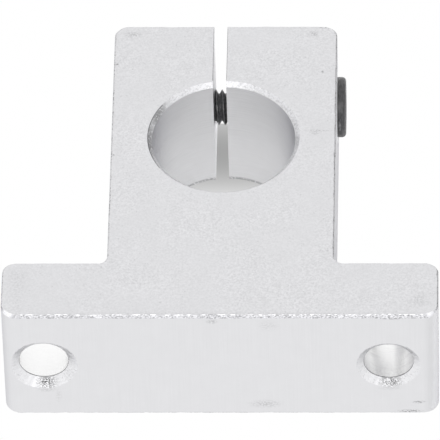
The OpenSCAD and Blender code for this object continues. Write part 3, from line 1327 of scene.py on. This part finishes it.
@dataclass
class ClampScrew:
    """The M4 socket head cap screw: rolled thread, plain neck, head and hexagon socket.

    Attributes:
        axis_z: height of its axis.
        head_end: where its head ends, along X.
        tip: where its shank ends, along X.
        major_r: radius at the thread's crest.
        minor_r: radius at the thread's root.
        pitch: of the thread.
        crest_at: where a crest meets the angle 0, along X.
        tip_r: radius of the flat end.
        tip_chamfer: length of the cone behind it.
        neck: length of the plain neck under the head.
        neck_r: its radius.
        head_r: radius of the head.
        head_h: height of the head.
        seat_chamfer: size of the chamfer round the head's underside.
        head_edge: radius of the head's outer edge.
        edge_steps: number of steps round that edge.
        side_rings: height of the rings on the head's side.
        face_rings: radius of the rings on its top face.
        socket_af: width of the hexagon across its flats.
        socket_depth: depth of its walls.
        wall_ring: depth of the ring half way down them.
        socket_cone: depth of the drill's cone at the bottom.
        cone_share: width of the cone's mouth, as a share of the hexagon's.
        socket_chamfer: size of the chamfer round the socket.
        lip_past: how far that chamfer reaches past the hexagon's corners.
        angles: number of points round the screw.
        crisp_angle: least angle of an edge that is shaded crisp, in degrees.
    """

    axis_z: float
    head_end: float
    tip: float
    major_r: float = 2.0
    minor_r: float = 1.55
    pitch: float = 0.7
    crest_at: float = -0.1
    tip_r: float = 1.45
    tip_chamfer: float = 0.55
    neck: float = 0.6
    neck_r: float = 1.9
    head_r: float = 3.4
    head_h: float = 4.0
    seat_chamfer: float = 0.15
    head_edge: float = 0.45
    edge_steps: int = 6
    side_rings: tuple[float, ...] = (1.0, 2.2)
    face_rings: tuple[float, ...] = (2.6, 2.2)
    socket_af: float = 3.0
    socket_depth: float = 2.0
    wall_ring: float = 1.0
    socket_cone: float = 0.45
    cone_share: float = 0.96
    socket_chamfer: float = 0.15
    lip_past: float = 0.04
    angles: int = 96
    crisp_angle: float = 35.0

    @classmethod
    def from_frame(cls, packed: dict) -> "ClampScrew":
        """Reads the screw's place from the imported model.


        Returns:
            The screw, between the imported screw's two ends.
        """
        low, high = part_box("clamp_screw")
        return cls(axis_z=packed["joints"][0]["pos_m"][2] / MM,
                   head_end=high.x / MM, tip=low.x / MM)

    @property
    def seat(self) -> float:
        """Where the underside of the head lies, along X."""
        return self.head_end - self.head_h

    def place(self, along: np.ndarray, radius: np.ndarray, turn: np.ndarray) -> np.ndarray:
        """Points round the screw's axis.

        Args:
            along: where they are, along X.
            radius: their distance from the axis.
            turn: their angle, which goes from +Y to +Z.

        Returns:
            Their X, Y and Z, along the last axis.
        """
        along, radius, turn = np.broadcast_arrays(along, radius, turn)
        return np.stack([along, radius * np.cos(turn), self.axis_z + radius * np.sin(turn)],
                        axis=-1)

    def thread(self) -> Object:
        """The shank, from the tip to the seat, as one strip that follows the helix.

        Point (j, i) lies at a share j of the pitch plus the angle's share of it, so a row runs
        along the helix and its end meets the row one pitch further on. The radius is the basic
        60 degree profile: a narrow crest, a flank, a rounded root and a flank. It is held under a
        cone at the tip, and it fades into the neck before the head.

        Returns:
            The shank, open at both ends.
        """
        # The profile over one pitch, from crest to crest: share of the pitch, and height
        share = np.array([0.0, 0.06, 0.2, 0.34, 0.42, 0.5, 0.58, 0.66, 0.8, 0.94])
        height = np.array([1.0, 1.0, 0.6, 0.2, 0.04, 0.0, 0.04, 0.2, 0.6, 1.0])
        turns = math.ceil((self.seat - self.tip) / self.pitch) + 2
        first = math.floor((self.tip - self.crest_at) / self.pitch) - 1
        row_share = (np.arange(turns)[:, None] + share[None, :]).ravel() + first
        row_height = np.tile(height, turns)
        turn = np.linspace(0, TURN, self.angles + 1)
        along = self.crest_at + self.pitch * (row_share[:, None] + turn[None, :] / TURN)
        radius = self.minor_r + (self.major_r - self.minor_r) * row_height[:, None]
        radius = np.broadcast_to(radius, along.shape)
        thread_end = self.seat - self.neck
        slope = (self.major_r - self.tip_r) / self.tip_chamfer
        radius = np.minimum(radius, self.tip_r + slope * np.maximum(along - self.tip, 0))
        fade = np.clip((along - thread_end + self.pitch) / self.pitch, 0, 1)
        radius = radius + (self.neck_r - radius) * fade ** 2 * (3 - 2 * fade)
        along = np.clip(along, self.tip, self.seat)
        points = self.place(along, radius, turn[None, :])
        faces = grid_faces(len(row_share), self.angles + 1, closed=False)
        return make_object("clamp_screw_shank", points, faces)

    def socket_radius(self, turn: np.ndarray) -> np.ndarray:
        """Radius of the hexagon: half its flats, over the cosine of the angle from a flat."""
        from_flat = (turn % (TURN / 6)) - TURN / 12
        return self.socket_af / 2 / np.cos(from_flat)

    def head(self) -> Object:
        """The head and its socket, turned from the neck outwards and down into the socket.

        Each ring is a circle or the hexagon. The rings run along the seat, up the side, round the
        edge, over the top face, down the socket's walls and along its cone to the middle.

        Returns:
            The head, open at the neck.
        """
        turn = full_turn(self.angles)
        half_flats = self.socket_af / 2
        flat = self.socket_radius(turn)
        corner = half_flats / math.cos(TURN / 12)
        lip = np.minimum(flat + self.socket_chamfer, corner + self.lip_past)
        top, low, cut_off = self.head_end, self.seat, self.seat_chamfer
        floor_x = top - self.socket_depth
        rings: list[tuple[float, float | np.ndarray]] = [
            (low, self.neck_r),
            (low, self.head_r - cut_off),
            (low + cut_off, self.head_r),
        ]
        rings += [(low + height, self.head_r) for height in self.side_rings]
        for angle in np.linspace(0, TURN / 4, self.edge_steps + 1):
            rings.append((top - self.head_edge * (1 - math.sin(angle)),
                          self.head_r - self.head_edge * (1 - math.cos(angle))))
        rings += [(top, radius) for radius in self.face_rings]
        rings += [
            (top, lip),
            (top - self.socket_chamfer, flat),
            (top - self.wall_ring, flat),
            (floor_x, flat),
            (floor_x, np.minimum(flat, half_flats) * self.cone_share),
            (floor_x - self.socket_cone / 2, half_flats / 2),
            (floor_x - self.socket_cone, 0.0),
        ]
        along = np.array([place for place, _ in rings])
        radius = np.stack([np.broadcast_to(size, self.angles) for _, size in rings])
        points = self.place(along[:, None], radius, turn[None, :])
        return make_object("clamp_screw_head", points, grid_faces(len(rings), self.angles))

    def tip_face(self) -> Object:
        """The flat end of the shank: a ring and its middle.

        Returns:
            The end face, open round its rim.
        """
        radius = np.array([0.0, self.tip_r * 0.6, self.tip_r])
        points = self.place(np.full((3, 1), self.tip), radius[:, None],
                            full_turn(self.angles)[None, :])
        return make_object("clamp_screw_tip", points, grid_faces(3, self.angles))

    def build(self) -> list[Object]:
        """Makes the screw as one closed piece, dresses it and puts it in the frame.

        Returns:
            The screw's pieces.
        """
        parts = [self.tip_face(), self.thread(), self.head()]
        work = bmesh.new()
        for part in parts:
            work.from_mesh(part.data)
        for part in parts:
            bpy.data.objects.remove(part)
        bmesh.ops.remove_doubles(work, verts=work.verts, dist=WELD * MM)
        bmesh.ops.dissolve_degenerate(work, edges=work.edges, dist=WELD * MM)
        bmesh.ops.recalc_face_normals(work, faces=work.faces)
        mesh = bpy.data.meshes.new("screw_body")
        work.to_mesh(mesh)
        work.free()
        piece = add_object("screw_body", mesh)
        for finish in (HEAD_OXIDE, THREAD_OXIDE_PAINTED_LIGHTER):
            mesh.materials.append(finish.build())
        shank = read_all(mesh.polygons, "center", np.float32, 3)[:, 0] < self.seat * MM
        mesh.polygons.foreach_set("material_index", shank.astype(np.int32))
        smooth_but_crisp(piece, self.crisp_angle)
        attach(piece, "screw")
        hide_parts("clamp_screw")
        return [piece]


# ---------------------------------------------------------------- the studio


class Surface(Enum):
    """The studio's pale sheets.

    The camera sees the floor, and the strip, a glow that paints the shade seen through the bore
    and the slit. It sees none of the others: they are there for the block's reflections, and are
    the table behind the block, a card behind the bore and one behind the slit, which add a glow of
    painted light to what their paper sends back, and a card above the left hole that is glow
    alone, a painted reflection of white light in that hole's wall.
    """

    FLOOR = "floor"
    TABLE = "table_behind"
    CARD = "card_behind_bore"
    SLIT_CARD = "card_behind_slit"
    HOLE_CARD = "card_above_left_hole"
    STRIP = "strip_behind_slit"


@dataclass(frozen=True)
class DarkCorner:
    """A part of the room that is dimmer than the rest.

    Attributes:
        towards: unit direction of its middle.
        depth: how much dimmer its middle is, as a share.
        focus: how narrow it is: the power of the cosine from its middle.
    """

    towards: tuple[float, float, float]
    depth: float
    focus: float


@dataclass(frozen=True)
class Softbox:
    """A square area lamp that faces the object.

    Attributes:
        name: the lamp's name.
        towards: direction from the object to the lamp.
        distance: distance from the object.
        size: the lamp's side.
        power: in watts.
    """

    name: str
    towards: tuple[float, float, float]
    distance: float
    size: float
    power: float

    def build(self, aim: Vector) -> None:
        """Hangs the lamp, facing the aim point.

        Args:
            aim: the aim point, in metres.
        """
        lamp = bpy.data.lights.new(self.name, "AREA")
        lamp.shape = "SQUARE"
        lamp.size = self.size * MM
        lamp.energy = self.power
        holder = add_object(self.name, lamp)
        holder.visible_camera = False
        back = Vector(self.towards).normalized()
        holder.location = aim + back * self.distance * MM
        holder.rotation_mode = "QUATERNION"
        holder.rotation_quaternion = (-back).to_track_quat("-Z", "Y")


@dataclass
class Studio:
    """A pale floor, pale paper behind the block, soft light and the camera.

    The camera looks up at the underside. So the floor is seen only from above and the paper behind
    only from the front, and neither keeps light off a face of the block that lies against it. The
    shade that shows through the slit and the bore is painted shade: a glow on a level strip above
    and behind them, which is seen only from below. From any higher place the bore is clear.

    Attributes:
        aim: the point that the camera looks at.
        azimuth: the camera's turn from the front towards +X, in degrees.
        elevation: its height above the level, in degrees.
        roll: its turn about its own line of sight, in degrees.
        distance: from the aim point to the camera.
        lens: its focal length.
        clip: nearest and farthest distance that it sees, in metres.
        floor_gap: space under the block and behind it.
        floor_reach: half the floor's width.
        floor_glow: what the floor adds to the light it gives the camera, so that it is white.
        contact: how near the table lets light through.
        table_left: where the table starts, along X.
        table_right: where it ends.
        table_top: its height.
        card_inset: how far inside the bore's mouth its card ends.
        card_shade: how much light the cards behind the bore and the slit send back.
        card_glow: painted light that the bore's card adds to that, a glow that the bore's walls
            reflect.
        slit_glow: painted light that the slit's card adds, a glow that lightens the slit's walls.
        hole_card_x: the hole card's left and right ends.
        hole_card_y: half its depth.
        hole_card_z: its height.
        strip_half_width: of the strip, along X.
        strip_depth: its size along Y.
        strip_darkest: how far behind the block it is darkest.
        strip_level: its level there.
        strip_curve: how fast it gets lighter away from there.
        room_colour: the colour of the room's light.
        dark_corners: the parts of the room that are dimmer.
        lamps: the soft lamps.
    """

    aim: tuple[float, float, float] = (-0.47, 0.0, 21.73)
    azimuth: float = 2.26
    elevation: float = -42.58
    roll: float = 1.47
    distance: float = 1102.1
    lens: float = 808.1
    clip: tuple[float, float] = (0.05, 10.0)
    floor_gap: float = 0.02
    floor_reach: float = 3000.0
    floor_glow: float = 0.12
    contact: float = 0.8
    table_left: float = -14.0
    table_right: float = 60.0
    table_top: float = 95.0
    card_inset: float = 0.05
    card_shade: float = 0.85
    card_glow: float = 0.14
    slit_glow: float = 0.55
    hole_card_x: tuple[float, float] = (-28.0, -12.6)
    hole_card_y: float = 9.0
    hole_card_z: float = 10.5
    strip_half_width: float = 7.0
    strip_depth: float = 12.5
    strip_darkest: float = 4.8
    strip_level: float = 0.376
    strip_curve: float = 0.0066
    room_colour: str = "ffffff"
    dark_corners: tuple[DarkCorner, ...] = (
        DarkCorner((0.74, 0.0, 0.67), 0.55, 9.0),
        DarkCorner((-0.74, 0.0, 0.67), 0.2, 9.0),
        DarkCorner((0.6, 0.74, -0.3), 0.12, 9.0),
    )
    lamps: tuple[Softbox, ...] = (
        Softbox("camera_side_softbox", (0.05, -0.73, -0.68), 700, 380, 0.9),
    )

    def camera(self) -> None:
        """Hangs the camera on a line from the aim point, and rolls it about that line."""
        data = bpy.data.cameras.new("camera")
        data.lens = self.lens
        data.clip_start, data.clip_end = self.clip
        holder = add_object("camera", data)
        around, above = math.radians(self.azimuth), math.radians(self.elevation)
        back = Vector((math.sin(around) * math.cos(above), -math.cos(around) * math.cos(above),
                       math.sin(above)))
        level = (-back).to_track_quat("-Z", "Y").to_matrix().to_4x4()
        tilt = Matrix.Rotation(math.radians(self.roll), 4, "Z")
        holder.matrix_world = (Matrix.Translation((Vector(self.aim) + back * self.distance) * MM)
                               @ level @ tilt)
        bpy.context.scene.camera = holder

    def paper(self, surface: Surface) -> Material:
        """White matt paper that shows from its front only. The bore's and the slit's cards add a
        glow of painted light, the hole's card is glow alone, and the strip is a glow that paints
        shade.

        Args:
            surface: the floor or the strip, which only the camera sees, or one that only the
                block's reflections see. The table lets light through where it almost touches
                the block, and light that a matt face sends out never meets it.

        Returns:
            The material.
        """
        material = bpy.data.materials.new(f"{surface.value}_paper")
        tree = empty_tree(material)
        path = add_node(tree, "LightPath")
        unseen = add_node(tree, "NewGeometry").outputs["Backfacing"]
        rules: list[Source] = [path.outputs["Is Camera Ray"]]
        if surface in (Surface.FLOOR, Surface.STRIP):
            rules = [add_node(tree, "Math", {"operation": "SUBTRACT"}, {0: 1.0, 1: rules[0]})]
        elif surface is Surface.TABLE:
            near = add_node(tree, "Math", {"operation": "LESS_THAN"}, {
                0: path.outputs["Ray Length"], 1: self.contact * MM})
            rules += [near, path.outputs["Is Diffuse Ray"]]
        for rule in rules:
            unseen = add_node(tree, "Math", {"operation": "MAXIMUM"}, {0: unseen, 1: rule})
        if surface is Surface.STRIP:
            front = self.shade_between_ears(tree)
        # The hole card is glow alone: painted light that the left hole's wall reflects as white.
        elif surface is Surface.HOLE_CARD:
            front = add_node(tree, "Emission")
        else:
            shade = self.card_shade if surface in (Surface.CARD, Surface.SLIT_CARD) else 1.0
            front = add_node(tree, "BsdfDiffuse", inputs={"Color": (shade, shade, shade, 1.0)})
        # The floor's glow makes it white to the camera; the cards' glows are painted light for the
        # block's reflections.
        glows = {Surface.FLOOR: self.floor_glow, Surface.CARD: self.card_glow,
                 Surface.SLIT_CARD: self.slit_glow}
        if surface in glows:
            glow = add_node(tree, "Emission", inputs={"Strength": glows[surface]})
            front = add_node(tree, "AddShader", inputs={0: front, 1: glow})
        mix = add_node(tree, "MixShader", inputs={
            0: unseen, 1: front, 2: add_node(tree, "BsdfTransparent")})
        add_node(tree, "OutputMaterial", inputs={"Surface": mix})
        return material

    def shade_between_ears(self, tree: NodeTree) -> Node:
        """Painted shade between the ears: an even glow, its darkest level plus the square of the
        distance from that line in Y.

        Args:
            tree: the strip's node tree.

        Returns:
            The node that gives the glow.
        """
        back = CAD_BOX[1].y / MM
        parts = add_node(tree, "SeparateXYZ", inputs={
            "Vector": add_node(tree, "TexCoord").outputs["Object"]})
        away = add_node(tree, "Math", {"operation": "MULTIPLY_ADD"}, {
            0: parts.outputs["Y"], 1: 1 / MM, 2: -back - self.strip_darkest})
        square = add_node(tree, "Math", {"operation": "MULTIPLY"}, {0: away, 1: away})
        level = add_node(tree, "Math", {"operation": "MULTIPLY_ADD"}, {
            0: square, 1: self.strip_curve, 2: self.strip_level})
        return add_node(tree, "Emission", inputs={"Strength": level})

    def openings(self, back: float) -> tuple[np.ndarray, list[list[float]]]:
        """Outlines of the bore and of the slit where they open on the back face.

        The bore's is a circle round the shaft's axis, and the slit's is an upright rectangle
        from the circle to the top.

        Args:
            back: where the outlines lie, along Y.

        Returns:
            The bore's points and the slit's points.
        """
        block = SupportBlock.from_frame(frame)
        radius = block.bore_r + block.bore_chamfer - self.card_inset
        left, right = block.slit_sides
        turn = full_turn(Hole.angles)
        circle = np.stack([radius * np.cos(turn), np.full_like(turn, back),
                           block.bore_z + radius * np.sin(turn)], axis=1)
        foot, top = block.bore_z + radius, block.height
        return circle, [[left, back, foot], [right, back, foot], [right, back, top],
                        [left, back, top]]

    def surfaces(self) -> None:
        """Lays the floor, stands the table and the cards up, and hangs the strip."""
        low, high = CAD_BOX
        back = high.y / MM + self.floor_gap
        ground = low.z / MM - self.floor_gap
        bore, slit = self.openings(back)
        reach, behind, upper = self.floor_reach, back + self.floor_gap, self.table_top
        start, end = self.table_left, self.table_right
        (left, right), deep, above = self.hole_card_x, self.hole_card_y, self.hole_card_z
        top, wide, far = high.z / MM, self.strip_half_width, back + self.strip_depth
        sheets = {
            Surface.FLOOR: [[-reach, -reach, ground], [reach, -reach, ground],
                            [reach, reach, ground], [-reach, reach, ground]],
            Surface.TABLE: [[start, behind, 0], [end, behind, 0], [end, behind, upper],
                            [start, behind, upper]],
            Surface.CARD: bore,
            Surface.SLIT_CARD: slit,
            Surface.HOLE_CARD: [[left, -deep, above], [left, deep, above], [right, deep, above],
                                [right, -deep, above]],
            Surface.STRIP: [[-wide, back, top], [-wide, far, top], [wide, far, top],
                            [wide, back, top]],
        }
        for surface, outline in sheets.items():
            sheet = make_object(surface.value, np.array(outline, float),
                                [range(len(outline))], [self.paper(surface)])

    def world(self) -> None:
        """White light from all round, less where the room is dim.

        The light from a direction is one minus, for each dim corner, its depth times a power of
        the cosine of the angle between the direction and the corner's middle.
        """
        world = bpy.data.worlds.new("white_room")
        bpy.context.scene.world = world
        tree = empty_tree(world)
        direction = add_node(tree, "TexCoord").outputs["Generated"]
        level: Source = 1.0
        for corner in self.dark_corners:
            cosine = add_node(tree, "VectorMath", {"operation": "DOT_PRODUCT"}, {
                0: direction, 1: corner.towards})
            facing = add_node(tree, "Math", {"operation": "MAXIMUM"}, {
                0: cosine.outputs["Value"], 1: 0.0})
            lobe = add_node(tree, "Math", {"operation": "POWER"}, {0: facing, 1: corner.focus})
            level = add_node(tree, "Math", {"operation": "MULTIPLY_ADD"}, {
                0: lobe, 1: -corner.depth, 2: level})
        light = add_node(tree, "Background", inputs={
            "Color": hex_to_linear(self.room_colour), "Strength": level})
        add_node(tree, "OutputWorld", inputs={"Surface": light})

    def build(self) -> None:
        """Sets up the whole studio."""
        self.camera()
        self.surfaces()
        self.world()
        for lamp in self.lamps:
            lamp.build(Vector(self.aim) * MM)
        bpy.context.scene.view_settings.view_transform = "Standard"


# ---------------------------------------------------------------- main


def main() -> None:
    """Builds the studio and the two sub-assemblies."""
    logging.basicConfig(level=logging.INFO, format="%(name)s: %(message)s")
    Studio().build()
    builders: list[Callable[[], list[Object]]] = [
        SupportBlock.from_frame(frame).build,
        ClampScrew.from_frame(frame).build,
    ]
    for build in builders:
        for piece in build():
            LOG.info("%s: %d faces", piece.name, len(piece.data.polygons))


if __name__ == "__main__":
    main()
